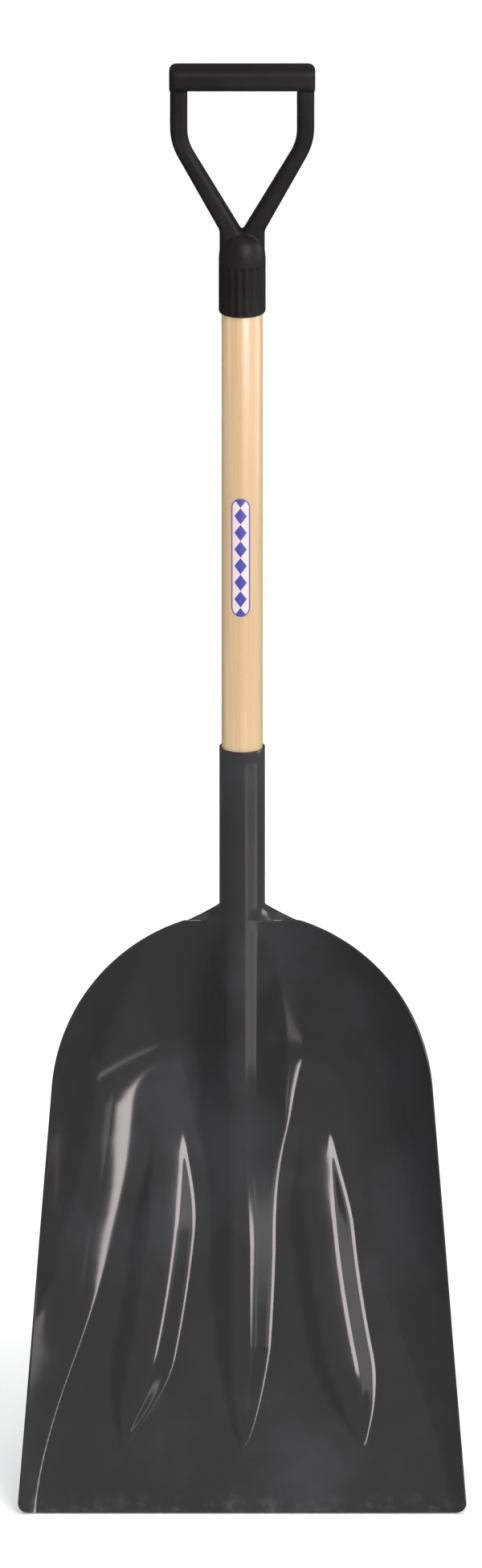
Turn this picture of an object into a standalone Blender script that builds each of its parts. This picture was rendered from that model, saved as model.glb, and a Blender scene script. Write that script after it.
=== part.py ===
"""Grain scoop shovel with a D-grip: one pressed steel scoop, an ash shaft, a moulded grip and three rivets.

Metres, +Z up. The origin is the hang point: the middle of the flat underside of the grip's cross bar.
The shaft runs down the Z axis, the hollow of the scoop faces -Y, and the width is along X.
"""

import math

import bmesh
import bpy
import numpy as np
from mathutils import Matrix, Vector

# Shaft and socket
SHAFT_RADIUS = 0.0179
SOCKET_RADIUS = 0.0198
SHEET = 0.0015
SOCKET_MOUTH_Z = -0.594
SHAFT_END_Z = -0.739
SHAFT_TOP_Z = -0.140
SHAFT_TAPER_LENGTH = 0.050
SHAFT_END_RADIUS = 0.0130
SHAFT_CHAMFER = 0.0020
TENON_RADIUS = 0.0165
SEAM_ANGLE = math.radians(4)  # half the angle that the socket's back seam leaves open
FIT_GAP = 0.0003

# Scoop, in the blade's own frame: t runs up the floor from the lip, n stands up from it into the hollow
LIFT = math.radians(17)
LIP_Y = -0.1023
LIP_Z = -1.2555
SHOULDER_RADIUS = 0.164
SHOULDER_CENTRE = 0.355
SIDE_TAPER = math.radians(4.7)
CORNER_RADIUS = 0.0085
RIM_HEIGHTS = (0.009, 0.074, 0.056)  # at the lip, at the highest point of the shoulders, beside the socket
RIM_PEAK = 0.440  # run along the rim from the lip to its highest point
WALL_FOOTS = (0.014, 0.076, 0.164)  # how far the wall's foot lies inside the rim: lip, shoulder, socket
WALL_FOOT_T = 0.320  # where the foot has reached its distance at the shoulder
WALL_CURVES = (1.3, 2.4, 2.3)  # exponents of the wall's profile: lip, shoulder, socket
WALL_CURVE_T = (0.140, 0.260)
NECK_T = 0.5115  # where the wings start to wrap round the shaft
NECK_LENGTH = 0.010
NECK_SWEEP = 1.6  # exponent of the wings' turn towards the shaft
NECK_WRAP = math.radians(125)
WRAP_LENGTH = 0.060  # above the neck, until the seam is closed

# Ridge down the middle, which carries the socket's line on to the lip
RIDGE_HEIGHT = 0.0108
RIDGE_FULL_T = 0.265
RIDGE_TIP_T = 0.058
RIDGE_TIP_FALL = 1.6  # exponents of its fall to the tip
RIDGE_TIP_ROUND = 0.6
RIDGE_CROWNS = (0.0065, 0.0)  # half the width of its flat top: on the floor, under the socket
RIDGE_CREST_RADII = (0.012, 0.020)  # of the rounding beside the flat top, at the same places
RIDGE_CROWN_T = (0.220, 0.360)
RIDGE_FLANKS = (math.radians(32), math.radians(50), math.radians(46))  # floor, frog, neck
RIDGE_FLANK_T = (0.330, 0.420, 0.455, 0.510)  # where each change of flank starts and ends
RIDGE_NARROWING = 0.0077  # a ridge lower than this keeps its shape and shrinks
RIDGE_BEND = 0.024
FOOT_RADII = (0.008, 0.028, 0.040)  # of the fillets at its flanks' feet

# Pressed ribs, one on each side of the ridge
RIB_TOP_T = 0.350
RIB_TIP_T = 0.054
RIB_HEIGHT = 0.0078
RIB_CROWN_RADIUS = 0.240
RIB_CROWN = math.radians(2.5)
RIB_SHOULDER_RADIUS = 0.010
RIB_FLANK = math.radians(30)
RIB_FOOT = 0.0014  # fillet at its foot, as a height
RIB_MIDDLE = (0.0635, 0.042)  # distance from the middle at its top, and how much further its tip is
RIB_SPREAD = 2.0  # exponent of its curve away from the middle
RIB_RISE_RUN = 0.36  # share of its length over which it rises out of the floor
RIB_TIP_RUN = 0.28  # share of its length over which it narrows to its tip
SMALLEST_SIZE = 0.02  # of a rib's or the ridge's cross-section at its very end

# Grip
BAR_HALF_LENGTH = 0.0625
BAR_HEIGHT = 0.0205
BAR_DEPTH = 0.027
BAR_ROUNDING = 0.004
BAR_OVERHANG = 0.0008  # how far the bar's ends stand out past the legs
BAR_CORNER_ROUNDING = 0.005
PLATE_TOP_Z = 0.012  # the legs' plate ends inside the bar and inside the ferrule
PLATE_BOTTOM_Z = -0.1535
WAIST_HALF_WIDTH = 0.0196
WAIST_ROUNDING = 0.010
OPENING_OVERLAP = 0.004  # how far the plate's opening reaches up into the bar
LEG_WIDTH = 0.0152
LEG_DEPTH = 0.018
LEG_ROUNDING = 0.0055
LEG_BEND_Z = -0.048
LEG_BEND_RADIUS = 0.055
OPENING_APEX_Z = -0.1285
SHOULDER_Z = -0.1268  # where the legs' outer edges reach the ferrule
CORNER_ROUNDING = 0.004
OPENING_ROUNDING = 0.003
APEX_ROUNDING = 0.0015
FERRULE_RADIUS = 0.0204
FERRULE_BOTTOM_Z = -0.2015
FERRULE_TOP_Z = -0.1292
FERRULE_DOME = 0.026
FLUTE_TOP_Z = -0.156
FLUTE_DEPTH = 0.0007
FLUTES = 18
FLUTE_INSET = 0.8  # flute depths from the ferrule's radius to the middle of a flute
FERRULE_CHAMFER = 0.0010
BORE_CLEARANCE = 0.0020  # above the tenon's end
BORE_OVERRUN = 0.010  # how far its cutter reaches out below the ferrule

# Rivets
RIVET_RADIUS = 0.0025
RIVET_HEAD_RADIUS = 0.0055
RIVET_HEAD_HEIGHT = 0.0026
GRIP_RIVET_Z = -0.178
SOCKET_RIVETS_Z = (-0.616, -0.684)
RIVET_TIP_Y = -0.0140  # the front end of each rivet's hole
RIVET_TIP_GAP = 0.0010
RIVET_TIP_CHAMFER = 0.0010
CUTTER_BACK_Y = 0.040  # clear of the back of everything that a rivet goes through

# How many rows and columns the scoop's sheet has, and how they crowd together over the ridge and the ribs
ROWS_ON_FLOOR = 25
ROWS_ON_SHOULDERS = 10
ROWS_ON_NECK = 5
ROWS_ON_WRAP = 5
COLUMNS = 21
DENSITY_SAMPLES = 400
RIDGE_DENSITY = 1.2
RIDGE_SPAN = 0.030
RIB_DENSITY = 1.8
RIB_SPAN = 0.022
RIB_COLUMNS_FADE = 0.080

NEAR = 1e-6
MERGE_DISTANCE = 0.00001


def clear_scene():
    for obj in list(bpy.data.objects):
        bpy.data.objects.remove(obj, do_unlink=True)


def new_collection(name):
    collection = bpy.data.collections.new(name)
    bpy.context.scene.collection.children.link(collection)
    return collection


def paint(name, colour, roughness, metallic):
    material = bpy.data.materials.new(name)
    material.use_nodes = True
    shader = material.node_tree.nodes["Principled BSDF"]
    shader.inputs["Base Color"].default_value = (*colour, 1.0)
    shader.inputs["Roughness"].default_value = roughness
    shader.inputs["Metallic"].default_value = metallic
    material.diffuse_color = (*colour, 1.0)
    return material


def add_object(name, mesh, collection, material=None):
    obj = bpy.data.objects.new(name, mesh)
    collection.objects.link(obj)
    if material:
        obj.data.materials.append(material)
    return obj


def combine(obj, other, operation, solver="EXACT"):
    """Joins another closed mesh to obj, or cuts it out."""
    other.hide_render = True
    other.display_type = "WIRE"
    modifier = obj.modifiers.new(operation.lower() + "_" + other.name, "BOOLEAN")
    modifier.operation = operation
    modifier.solver = solver
    modifier.object = other


def smooth_step(value):
    v = np.clip(value, 0.0, 1.0)
    return v * v * (3.0 - 2.0 * v)


def eased(place, places, values):
    """A value that eases from one of the given values to the next, each over its own stretch."""
    result = values[0]
    for start, end, low, high in zip(places[::2], places[1::2], values, values[1:]):
        result += (high - low) * float(smooth_step((place - start) / (end - start)))
    return result


def soft_max(a, b, blend):
    """The higher of two surfaces, with a fillet where they cross."""
    overlap = np.maximum(blend - np.abs(a - b), 0.0)
    return np.maximum(a, b) + overlap**2 / (4.0 * blend)


# Shape of the scoop


def blade_point(x, t, n):
    """World points of the blade's own coordinates."""
    y = LIP_Y + t * math.sin(LIFT) - n * math.cos(LIFT)
    z = LIP_Z + t * math.cos(LIFT) + n * math.sin(LIFT)
    return np.stack(np.broadcast_arrays(x, y, z), axis=-1)


def side_line(t):
    """Half the width between the straight sides, which touch the shoulder circle."""
    return SHOULDER_RADIUS / math.cos(SIDE_TAPER) - (t - SHOULDER_CENTRE) * math.tan(SIDE_TAPER)


def half_width(t):
    if t > SHOULDER_CENTRE + SHOULDER_RADIUS * math.sin(SIDE_TAPER):
        return math.sqrt(SHOULDER_RADIUS**2 - (t - SHOULDER_CENTRE) ** 2)
    below = max(CORNER_RADIUS - t, 0.0)
    rounding = CORNER_RADIUS - math.sqrt(CORNER_RADIUS**2 - below**2)
    return side_line(t) - rounding


def bowl_height(x, t):
    """The floor, which is flat, and the wall that curves up from it to the rim."""
    above = np.maximum(t - SHOULDER_CENTRE, 0.0)
    angle = np.arctan2(above, np.maximum(x, NEAR))
    edge = SHOULDER_RADIUS / np.cos(np.maximum(SIDE_TAPER - angle, 0.0))
    inside = np.where(t > SHOULDER_CENTRE, edge - np.hypot(x, above), side_line(t) - x)
    run = np.minimum(t, SHOULDER_CENTRE) + SHOULDER_RADIUS * angle
    end = SHOULDER_CENTRE + SHOULDER_RADIUS * math.pi / 2
    lip, peak, neck = RIM_HEIGHTS
    height = lip + (peak - lip) * smooth_step(run / RIM_PEAK)
    height -= (peak - neck) * smooth_step((run - RIM_PEAK) / (end - RIM_PEAK))
    lip_foot, side_foot, neck_foot = WALL_FOOTS
    towards_neck = smooth_step(2.0 * angle / math.pi)
    foot = lip_foot + (side_foot - lip_foot) * smooth_step(t / WALL_FOOT_T)
    foot += (neck_foot - side_foot) * towards_neck
    curve = eased(t, WALL_CURVE_T, WALL_CURVES[:2])
    curve += (WALL_CURVES[2] - WALL_CURVES[1]) * towards_neck
    return height * np.clip(1.0 - inside / foot, 0.0, None) ** curve


def ridge_drop(x, crest_radius, flank):
    """How far a round-topped ridge has fallen at a distance x from its middle."""
    reach = crest_radius * math.sin(flank)
    arc = crest_radius - np.sqrt(crest_radius**2 - np.minimum(x, reach) ** 2)
    return arc + np.maximum(x - reach, 0.0) * math.tan(flank)


def ridge_height(x, t):
    """The middle ridge: low on the floor, then the front of the socket's own tube."""
    low = np.clip((RIDGE_FULL_T - t) / (RIDGE_FULL_T - RIDGE_TIP_T), 0.0, 1.0)
    on_floor = RIDGE_HEIGHT * (1.0 - low**RIDGE_TIP_FALL) ** RIDGE_TIP_ROUND
    on_tube = t * math.tan(LIFT) + (LIP_Y + SOCKET_RADIUS) / math.cos(LIFT)
    crest = float(soft_max(on_floor, on_tube, RIDGE_BEND))
    flank = eased(t, RIDGE_FLANK_T, RIDGE_FLANKS)
    foot = eased(t, RIDGE_FLANK_T, FOOT_RADII)
    crown = eased(t, RIDGE_CROWN_T, RIDGE_CROWNS)
    crest_radius = eased(t, RIDGE_CROWN_T, RIDGE_CREST_RADII)
    size = max(min(crest / RIDGE_NARROWING, 1.0), SMALLEST_SIZE)
    blend = size * foot * math.tan(flank) ** 2 / 2.0
    crest -= blend * (1.0 - size)
    beyond_crown = np.maximum(x / size - crown, 0.0)
    return crest - size * ridge_drop(beyond_crown, crest_radius, flank), blend


def rib_run(t):
    """0 at the rib's top end and 1 at its tip."""
    return (RIB_TOP_T - t) / (RIB_TOP_T - RIB_TIP_T)


def rib_middle(t):
    start, further = RIB_MIDDLE
    return start + further * rib_run(t) ** RIB_SPREAD


def rib_height(x, t):
    """A pressed rib with a nearly flat crown: it sinks into the floor at its top and narrows to its tip."""
    run = rib_run(t)
    rise = float(smooth_step(run / RIB_RISE_RUN))
    narrowing = float(smooth_step((run - 1.0 + RIB_TIP_RUN) / RIB_TIP_RUN))
    size = max(math.sqrt(1.0 - narrowing), SMALLEST_SIZE)
    away = np.abs(x - rib_middle(t)) / size
    crown = RIB_CROWN_RADIUS * math.sin(RIB_CROWN)
    skew = RIB_SHOULDER_RADIUS * math.sin(RIB_CROWN)
    drop = ridge_drop(np.minimum(away, crown), RIB_CROWN_RADIUS, RIB_CROWN)
    drop += ridge_drop(np.maximum(away - crown, 0.0) + skew, RIB_SHOULDER_RADIUS, RIB_FLANK)
    drop -= ridge_drop(np.array(skew), RIB_SHOULDER_RADIUS, RIB_FLANK)
    return size * ((RIB_HEIGHT + RIB_FOOT) * rise - drop) - RIB_FOOT


def surface_height(x, t):
    height = bowl_height(x, t)
    if RIB_TIP_T < t < RIB_TOP_T:
        height = soft_max(height, rib_height(x, t), RIB_FOOT)
    if t > RIDGE_TIP_T:
        ridge, blend = ridge_height(x, t)
        height = soft_max(height, ridge, blend)
    return height


def column_places(t, columns):
    """Distances from the middle, closer together where the ribs and the ridge are."""
    x = np.linspace(0.0, half_width(t), DENSITY_SAMPLES)
    on_floor = 1.0 - smooth_step((t - RIB_TOP_T) / RIB_COLUMNS_FADE)
    from_rib = x - rib_middle(min(max(t, RIB_TIP_T), RIB_TOP_T))
    density = 1.0 + RIDGE_DENSITY * np.exp(-((x / RIDGE_SPAN) ** 2))
    density += RIB_DENSITY * on_floor * np.exp(-((from_rib / RIB_SPAN) ** 2))
    run = np.concatenate([[0.0], np.cumsum((density[1:] + density[:-1]) / 2.0)])
    return np.interp(np.linspace(0.0, 1.0, columns), run / run[-1], x)


def pan_rows(columns):
    corner = [CORNER_RADIUS * (1.0 - math.cos(a)) for a in (0.0, math.pi / 4, math.pi / 2.6)]
    turn = SHOULDER_CENTRE + SHOULDER_RADIUS * math.sin(SIDE_TAPER)
    floor = np.linspace(CORNER_RADIUS, turn, ROWS_ON_FLOOR)
    last = math.asin((NECK_T - SHOULDER_CENTRE) / SHOULDER_RADIUS)
    angles = np.linspace(SIDE_TAPER, last, ROWS_ON_SHOULDERS + 1)[1:]
    shoulder = SHOULDER_CENTRE + SHOULDER_RADIUS * np.sin(angles)
    rows = []
    for t in [*corner, *floor, *shoulder]:
        x = column_places(t, columns)
        rows.append(blade_point(x, t, surface_height(x, t)))
    return rows


def tube_row(fractions, wrap, z):
    angle = fractions * wrap
    z = np.full_like(angle, z)
    return np.stack([SOCKET_RADIUS * np.sin(angle), -SOCKET_RADIUS * np.cos(angle), z], axis=-1)


def socket_rows(last_pan_row):
    """The wings wrap round behind the shaft, and their edges close in to the back seam."""
    steps = np.linalg.norm(np.diff(last_pan_row, axis=0), axis=1)
    fractions = np.concatenate([[0.0], np.cumsum(steps)]) / steps.sum()
    base = last_pan_row[0, 2]
    rows = []
    for part in np.linspace(0.0, 1.0, ROWS_ON_NECK + 1)[1:]:
        rise = part * NECK_LENGTH
        wrapped = 1.0 - (1.0 - part) ** NECK_SWEEP
        lifted = last_pan_row + np.array([0.0, 0.0, rise])
        rows.append((1.0 - wrapped) * lifted + wrapped * tube_row(fractions, NECK_WRAP, base + rise))
    top_of_neck = base + NECK_LENGTH
    for part in np.linspace(0.0, 1.0, ROWS_ON_WRAP + 1)[1:]:
        wrap = NECK_WRAP + (math.pi - SEAM_ANGLE - NECK_WRAP) * float(smooth_step(part))
        rows.append(tube_row(fractions, wrap, top_of_neck + part * WRAP_LENGTH))
    rows.append(tube_row(fractions, math.pi - SEAM_ANGLE, SOCKET_MOUTH_Z))
    return rows


def grid_mesh(name, rows):
    """A sheet through rows of points, all of one length."""
    mesh = bpy.data.meshes.new(name)
    form = bmesh.new()
    verts = [[form.verts.new(point) for point in row] for row in rows]
    for low, high in zip(verts, verts[1:]):
        for a, b, c, d in zip(low, low[1:], high[1:], high):
            form.faces.new((a, b, c, d))
    form.to_mesh(mesh)
    form.free()
    return mesh


def rivet_cutter(name, z, radius, cutters):
    """A rod along Y, from behind the socket to just past the rivet's tip."""
    mesh = bpy.data.meshes.new(name)
    form = bmesh.new()
    length = CUTTER_BACK_Y - RIVET_TIP_Y
    middle = Matrix.Translation((0.0, CUTTER_BACK_Y - length / 2, z))
    along_y = Matrix.Rotation(math.pi / 2, 4, "X")
    bmesh.ops.create_cone(
        form,
        cap_ends=True,
        segments=16,
        radius1=radius,
        radius2=radius,
        depth=length,
        matrix=middle @ along_y,
    )
    form.to_mesh(mesh)
    form.free()
    return add_object(name, mesh, cutters)


def scoop_blade(parts, cutters, enamel):
    pan = pan_rows(COLUMNS)
    mesh = grid_mesh("scoop_blade", pan + socket_rows(pan[-1]))
    blade = add_object("scoop_blade", mesh, parts, enamel)
    mirror = blade.modifiers.new("other_half", "MIRROR")
    mirror.merge_threshold = MERGE_DISTANCE
    shell = blade.modifiers.new("sheet", "SOLIDIFY")
    shell.thickness = SHEET
    shell.offset = -1.0
    for place, z in zip(("upper", "lower"), SOCKET_RIVETS_Z):
        hole = rivet_cutter("blade_hole_" + place, z, RIVET_RADIUS + FIT_GAP, cutters)
        combine(blade, hole, "DIFFERENCE")
    mesh.shade_smooth()
    mesh.set_sharp_from_angle(angle=math.radians(40))
    return blade


# Turned pieces


def turned(name, profile, collection, material=None, steps=40):
    """A solid of revolution about Z. The profile lists (radius, z) from top to bottom."""
    mesh = bpy.data.meshes.new(name)
    form = bmesh.new()
    verts = [form.verts.new((radius, 0.0, z)) for radius, z in profile]
    for upper, lower in zip(verts, verts[1:]):
        form.edges.new((upper, lower))
    form.to_mesh(mesh)
    form.free()
    obj = add_object(name, mesh, collection, material)
    screw = obj.modifiers.new("turn", "SCREW")
    screw.steps = steps
    screw.render_steps = steps
    screw.use_merge_vertices = True
    screw.merge_threshold = MERGE_DISTANCE
    return obj


def handle_shaft(parts, cutters, ash):
    shoulder = FERRULE_BOTTOM_Z - FIT_GAP
    profile = [
        (0.0, SHAFT_TOP_Z),
        (TENON_RADIUS - SHAFT_CHAMFER, SHAFT_TOP_Z),
        (TENON_RADIUS, SHAFT_TOP_Z - SHAFT_CHAMFER),
        (TENON_RADIUS, shoulder),
        (SHAFT_RADIUS, shoulder),
        (SHAFT_RADIUS, SHAFT_END_Z + SHAFT_TAPER_LENGTH),
        (SHAFT_END_RADIUS, SHAFT_END_Z + SHAFT_CHAMFER),
        (SHAFT_END_RADIUS - SHAFT_CHAMFER, SHAFT_END_Z),
        (0.0, SHAFT_END_Z),
    ]
    shaft = turned("handle_shaft", profile, parts, ash)
    for name, z in zip(("grip", "upper", "lower"), (GRIP_RIVET_Z, *SOCKET_RIVETS_Z)):
        hole = rivet_cutter("shaft_hole_" + name, z, RIVET_RADIUS + FIT_GAP, cutters)
        combine(shaft, hole, "DIFFERENCE")
    return shaft


def rivet(name, z, seat, parts, steel):
    """A domed head on the back of the tube that it holds, and a shank through the shaft towards the front."""
    seat += FIT_GAP
    angles = np.linspace(0.0, math.pi / 2, 5)
    profile = [
        (RIVET_HEAD_RADIUS * math.sin(a), seat + RIVET_HEAD_HEIGHT * math.cos(a)) for a in angles
    ]
    tip = RIVET_TIP_Y + RIVET_TIP_GAP
    profile += [(RIVET_RADIUS, seat), (RIVET_RADIUS, tip + RIVET_TIP_CHAMFER), (0.0, tip)]
    profile[0] = (0.0, seat + RIVET_HEAD_HEIGHT)
    obj = turned(name, profile, parts, steel, steps=20)
    obj.rotation_euler = (-math.pi / 2, 0.0, 0.0)
    obj.location = (0.0, 0.0, z)
    return obj


# Grip


def rounded_outline(corners):
    """Points of a closed outline from its corners, given as (x, z, rounding)."""
    points = []
    for before, corner, after in zip(corners[-1:] + corners[:-1], corners, corners[1:] + corners[:1]):
        here = Vector(corner[:2])
        back = (Vector(before[:2]) - here).normalized()
        on = (Vector(after[:2]) - here).normalized()
        half = back.angle(on) / 2
        radius = corner[2]
        centre = here + (back + on).normalized() * radius / math.sin(half)
        start = here + back * radius / math.tan(half) - centre
        swing = start.angle_signed(here + on * radius / math.tan(half) - centre)
        count = max(2, math.ceil(abs(swing) / math.radians(20)) + 1)
        for part in np.linspace(0.0, swing, count):
            points.append(centre + Matrix.Rotation(-part, 2) @ start)
    return points


def standing_plate(name, outlines, depth, rounding, collection, material=None):
    """A plate in the XZ plane from flat outlines, with rounded edges, as one welded mesh."""
    curve = bpy.data.curves.new(name, "CURVE")
    curve.dimensions = "2D"
    curve.fill_mode = "BOTH"
    curve.extrude = depth / 2 - rounding
    curve.bevel_depth = rounding
    curve.bevel_resolution = 1
    curve.offset = -rounding
    for outline in outlines:
        spline = curve.splines.new("POLY")
        spline.points.add(len(outline) - 1)
        for point, place in zip(spline.points, outline):
            point.co = (place[0], place[1], 0.0, 1.0)
        spline.use_cyclic_u = True
    guide = add_object(name + "_guide", curve, collection)
    guide.rotation_euler = (math.pi / 2, 0.0, 0.0)
    bpy.context.view_layer.update()
    evaluated = guide.evaluated_get(bpy.context.evaluated_depsgraph_get())
    mesh = bpy.data.meshes.new_from_object(evaluated)
    form = bmesh.new()
    form.from_mesh(mesh)
    bmesh.ops.remove_doubles(form, verts=form.verts, dist=MERGE_DISTANCE)
    bmesh.ops.recalc_face_normals(form, faces=form.faces)
    form.to_mesh(mesh)
    form.free()
    mesh.transform(guide.matrix_world)
    bpy.data.objects.remove(guide)
    return add_object(name, mesh, collection, material)


def mirrored(corners):
    """The corners of the right half, from top to bottom, and then of the left half back up."""
    return corners + [(-x, z, rounding) for x, z, rounding in reversed(corners) if x > 0.0]


def opening_corners():
    inner = BAR_HALF_LENGTH - LEG_WIDTH
    return [
        (inner, OPENING_OVERLAP, OPENING_ROUNDING),
        (inner, LEG_BEND_Z, LEG_BEND_RADIUS - LEG_WIDTH),
        (0.0, OPENING_APEX_Z, APEX_ROUNDING),
    ]


def grip_frame(parts, polymer):
    outer = [
        (BAR_HALF_LENGTH, PLATE_TOP_Z, CORNER_ROUNDING),
        (BAR_HALF_LENGTH, LEG_BEND_Z, LEG_BEND_RADIUS),
        (WAIST_HALF_WIDTH, SHOULDER_Z, WAIST_ROUNDING),
        (WAIST_HALF_WIDTH, PLATE_BOTTOM_Z, OPENING_ROUNDING),
    ]
    hole = rounded_outline(mirrored(opening_corners()))
    outlines = [rounded_outline(mirrored(outer)), hole[::-1]]
    return standing_plate("d_grip", outlines, LEG_DEPTH, LEG_ROUNDING, parts, polymer)


def cross_bar(cutters):
    """The bar that the hand holds: round-edged, with a flat underside."""
    mesh = bpy.data.meshes.new("cross_bar")
    form = bmesh.new()
    half_length = BAR_HALF_LENGTH + BAR_OVERHANG
    size = Matrix.Diagonal((2 * half_length, BAR_DEPTH, BAR_HEIGHT, 1.0))
    bmesh.ops.create_cube(form, size=1.0, matrix=Matrix.Translation((0.0, 0.0, BAR_HEIGHT / 2)) @ size)
    top_edges = [e for e in form.edges if all(v.co.z > BAR_HEIGHT - NEAR for v in e.verts)]
    corners = [e for e in top_edges if abs(e.verts[0].co.x - e.verts[1].co.x) < NEAR]
    bmesh.ops.bevel(form, geom=corners, offset=BAR_CORNER_ROUNDING, segments=3, profile=0.5, affect="EDGES")
    for side in (-1.0, 1.0):
        rim = [e for e in form.edges if all(side * v.co.y > BAR_DEPTH / 2 - NEAR for v in e.verts)]
        bmesh.ops.bevel(form, geom=rim, offset=BAR_ROUNDING, segments=3, profile=0.5, affect="EDGES")
    form.to_mesh(mesh)
    form.free()
    return add_object("cross_bar", mesh, cutters)


def ferrule(cutters):
    """The turned body of the ferrule, whose domed top runs up into the web."""
    dome = [
        (FERRULE_RADIUS * math.sqrt(math.sin(a)), FERRULE_TOP_Z - FERRULE_DOME * (1.0 - math.cos(a)))
        for a in np.linspace(0.0, math.pi / 2, 7)
    ]
    groove = FERRULE_RADIUS - 2 * FLUTE_DEPTH
    profile = dome + [
        (FERRULE_RADIUS, FLUTE_TOP_Z + FERRULE_CHAMFER),
        (groove, FLUTE_TOP_Z),
        (groove, FERRULE_BOTTOM_Z + FERRULE_CHAMFER),
        (groove - FERRULE_CHAMFER, FERRULE_BOTTOM_Z),
        (0.0, FERRULE_BOTTOM_Z),
    ]
    return turned("ferrule", profile, cutters, steps=36)


def flutes(cutters):
    """The grip flutes of the ferrule: a rippled prism."""
    count = 4 * FLUTES
    middle = FERRULE_RADIUS - FLUTE_INSET * FLUTE_DEPTH
    ripple = [middle + FLUTE_DEPTH / 2 * math.cos(math.pi / 2 * i) for i in range(count)]
    mesh = bpy.data.meshes.new("flutes")
    form = bmesh.new()
    rings = []
    for z in (FERRULE_BOTTOM_Z + 2 * FERRULE_CHAMFER, FLUTE_TOP_Z + FERRULE_CHAMFER / 2):
        ring = []
        for i, radius in enumerate(ripple):
            angle = 2 * math.pi * i / count
            ring.append(form.verts.new((radius * math.cos(angle), radius * math.sin(angle), z)))
        rings.append(ring)
    bottom, top = rings
    form.faces.new(reversed(bottom))
    form.faces.new(top)
    for i in range(count):
        j = (i + 1) % count
        form.faces.new((bottom[i], bottom[j], top[j], top[i]))
    form.to_mesh(mesh)
    form.free()
    return add_object("flutes", mesh, cutters)


def bore(cutters):
    """The blind bore that takes the shaft's tenon."""
    radius = TENON_RADIUS + FIT_GAP
    top = SHAFT_TOP_Z + BORE_CLEARANCE
    bottom = FERRULE_BOTTOM_Z - BORE_OVERRUN
    profile = [(0.0, top), (radius, top), (radius, bottom), (0.0, bottom)]
    return turned("bore", profile, cutters, steps=36)


def d_grip(parts, cutters, polymer):
    grip = grip_frame(parts, polymer)
    for piece in (cross_bar(cutters), ferrule(cutters), flutes(cutters)):
        combine(grip, piece, "UNION", "MANIFOLD")
    hole = rivet_cutter("grip_hole", GRIP_RIVET_Z, RIVET_RADIUS + FIT_GAP, cutters)
    for cutter in (bore(cutters), hole):
        combine(grip, cutter, "DIFFERENCE", "MANIFOLD")
    return grip


def main():
    clear_scene()
    parts = new_collection("grain_scoop_shovel")
    cutters = new_collection("cutters")
    enamel = paint("black_enamel", (0.035, 0.034, 0.036), 0.25, 0.0)
    ash = paint("ash_wood", (0.72, 0.52, 0.30), 0.45, 0.0)
    polymer = paint("black_polymer", (0.022, 0.020, 0.021), 0.50, 0.0)
    steel = paint("black_steel", (0.060, 0.058, 0.060), 0.35, 1.0)
    scoop_blade(parts, cutters, enamel)
    handle_shaft(parts, cutters, ash)
    d_grip(parts, cutters, polymer)
    for name, z in zip(("socket_rivet_upper", "socket_rivet_lower"), SOCKET_RIVETS_Z):
        rivet(name, z, SOCKET_RADIUS, parts, steel)
    rivet("grip_rivet", GRIP_RIVET_Z, FERRULE_RADIUS, parts, steel)


main()
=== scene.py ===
import math

import bmesh
import bpy
import numpy as np
from mathutils import Matrix, Vector


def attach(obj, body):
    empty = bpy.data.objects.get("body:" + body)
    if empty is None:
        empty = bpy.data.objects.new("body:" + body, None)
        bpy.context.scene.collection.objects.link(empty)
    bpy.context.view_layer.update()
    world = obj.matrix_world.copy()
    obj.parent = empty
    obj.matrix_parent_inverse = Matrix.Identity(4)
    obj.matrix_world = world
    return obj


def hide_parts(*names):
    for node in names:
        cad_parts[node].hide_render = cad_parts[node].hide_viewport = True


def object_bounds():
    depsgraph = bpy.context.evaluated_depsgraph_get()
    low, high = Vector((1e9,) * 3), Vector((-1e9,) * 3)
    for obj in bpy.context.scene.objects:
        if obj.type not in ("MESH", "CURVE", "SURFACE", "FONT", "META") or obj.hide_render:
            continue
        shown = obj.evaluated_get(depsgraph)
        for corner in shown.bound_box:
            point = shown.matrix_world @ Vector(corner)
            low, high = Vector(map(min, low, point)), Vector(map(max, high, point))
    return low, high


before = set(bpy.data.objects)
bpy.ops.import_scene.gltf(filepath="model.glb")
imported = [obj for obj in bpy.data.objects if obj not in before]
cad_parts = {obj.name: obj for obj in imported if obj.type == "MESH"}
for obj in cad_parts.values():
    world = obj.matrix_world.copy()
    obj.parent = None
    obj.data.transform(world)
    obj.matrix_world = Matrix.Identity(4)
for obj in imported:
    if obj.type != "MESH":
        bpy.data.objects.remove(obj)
cad_low, cad_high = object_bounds()

# Shaft and socket, in metres
SHAFT_RADIUS = 0.0179
SOCKET_RADIUS = 0.0198
SHEET = 0.0015
SOCKET_MOUTH_Z = -0.594
SHAFT_END_Z = -0.739
SHAFT_TOP_Z = -0.140
SHAFT_TAPER_LENGTH = 0.050
SHAFT_END_RADIUS = 0.0130
SHAFT_CHAMFER = 0.0020
SHAFT_SHOULDER_ROUNDING = 0.0006
SHAFT_SHOULDER_STEP = 0.0002  # from the shoulder to the middle point of its rounding
TENON_RADIUS = 0.0165
SEAM_ANGLE = math.radians(4)  # half the angle that the socket's back seam leaves open
FIT_GAP = 0.0003

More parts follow.
